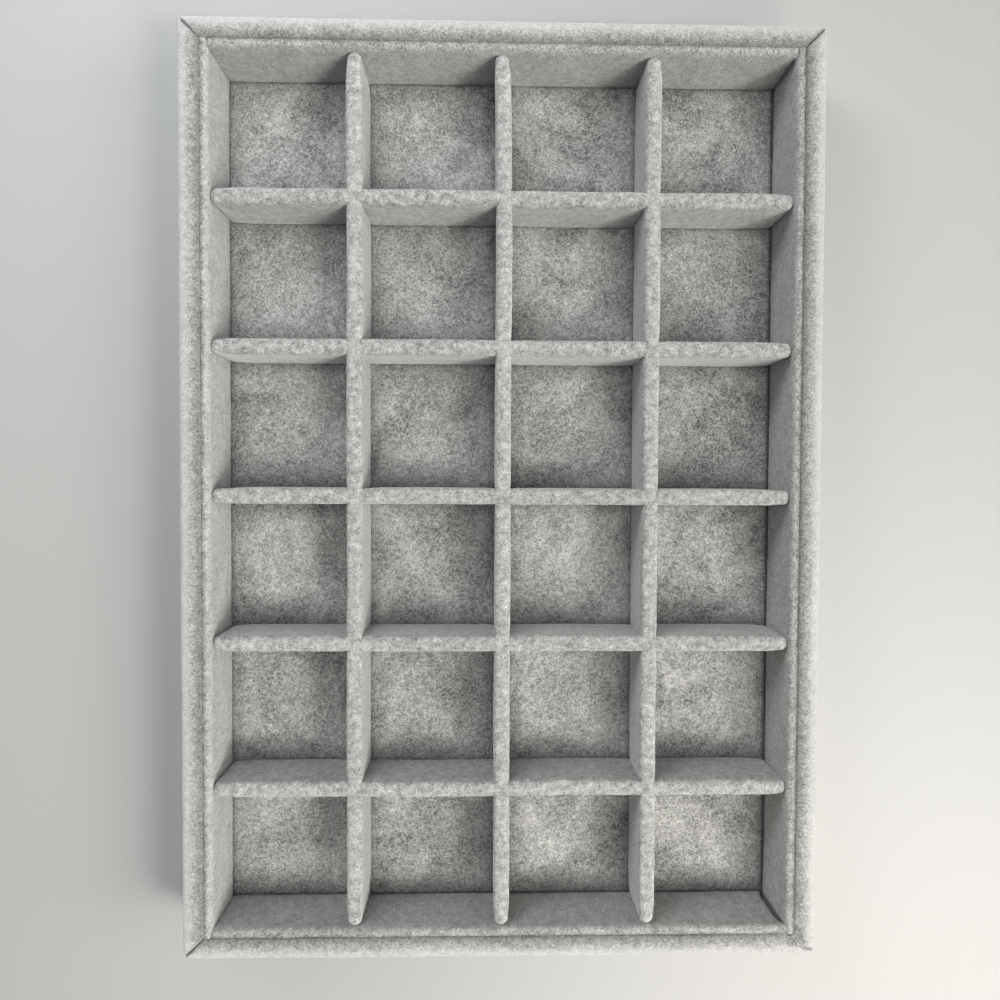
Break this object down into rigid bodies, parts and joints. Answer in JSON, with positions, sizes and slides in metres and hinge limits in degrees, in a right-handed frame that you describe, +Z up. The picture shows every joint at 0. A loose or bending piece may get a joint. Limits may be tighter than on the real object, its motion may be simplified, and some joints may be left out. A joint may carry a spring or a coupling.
{
  "type": "jewelry drawer organizer",
  "caption": "Shallow rectangular velvet-covered tray, its inside parted into square cells by half-lapped velvet dividers, for jewellery in a drawer.",
  "frame": {"origin": "centre of the underside, on the surface that the tray rests on", "axes": "+Z up out of the cells, +Y along the tray's length, +X across it"},
  "size_m": [0.24, 0.35, 0.03],
  "materials": {
    "grey_velvet": "short-pile velvet, light grey",
    "floor_velvet": "short-pile velvet, grey, nap brushed in patches",
    "liner_velvet": "short-pile velvet, light grey, nap combed upright",
    "divider_velvet": "short-pile velvet, light grey",
    "underside_cloth": "thin non-woven backing cloth, charcoal",
    "grey_card": "uncoated grey board",
    "fibreboard": "medium density fibreboard, raw"
  },
  "bodies": {
    "root": {"base_board": "fibreboard", "wall_board_near": "fibreboard", "wall_board_right": "fibreboard", "wall_board_far": "fibreboard", "wall_board_left": "fibreboard", "outer_velvet": "grey_velvet", "underside_sheet": "underside_cloth", "floor_card": "grey_card", "floor_velvet": "floor_velvet", "liner_card_near": "grey_card", "liner_velvet_near": "liner_velvet", "liner_card_right": "grey_card", "liner_velvet_right": "liner_velvet", "liner_card_far": "grey_card", "liner_velvet_far": "liner_velvet", "liner_card_left": "grey_card", "liner_velvet_left": "liner_velvet", "long_divider_card_1": "grey_card", "long_divider_velvet_1": "divider_velvet", "long_divider_card_2": "grey_card", "long_divider_velvet_2": "divider_velvet", "long_divider_card_3": "grey_card", "long_divider_velvet_3": "divider_velvet", "cross_divider_card_1": "grey_card", "cross_divider_velvet_1": "divider_velvet", "cross_divider_card_2": "grey_card", "cross_divider_velvet_2": "divider_velvet", "cross_divider_card_3": "grey_card", "cross_divider_velvet_3": "divider_velvet", "cross_divider_card_4": "grey_card", "cross_divider_velvet_4": "divider_velvet", "cross_divider_card_5": "grey_card", "cross_divider_velvet_5": "divider_velvet"}
  },
  "joints": []
}
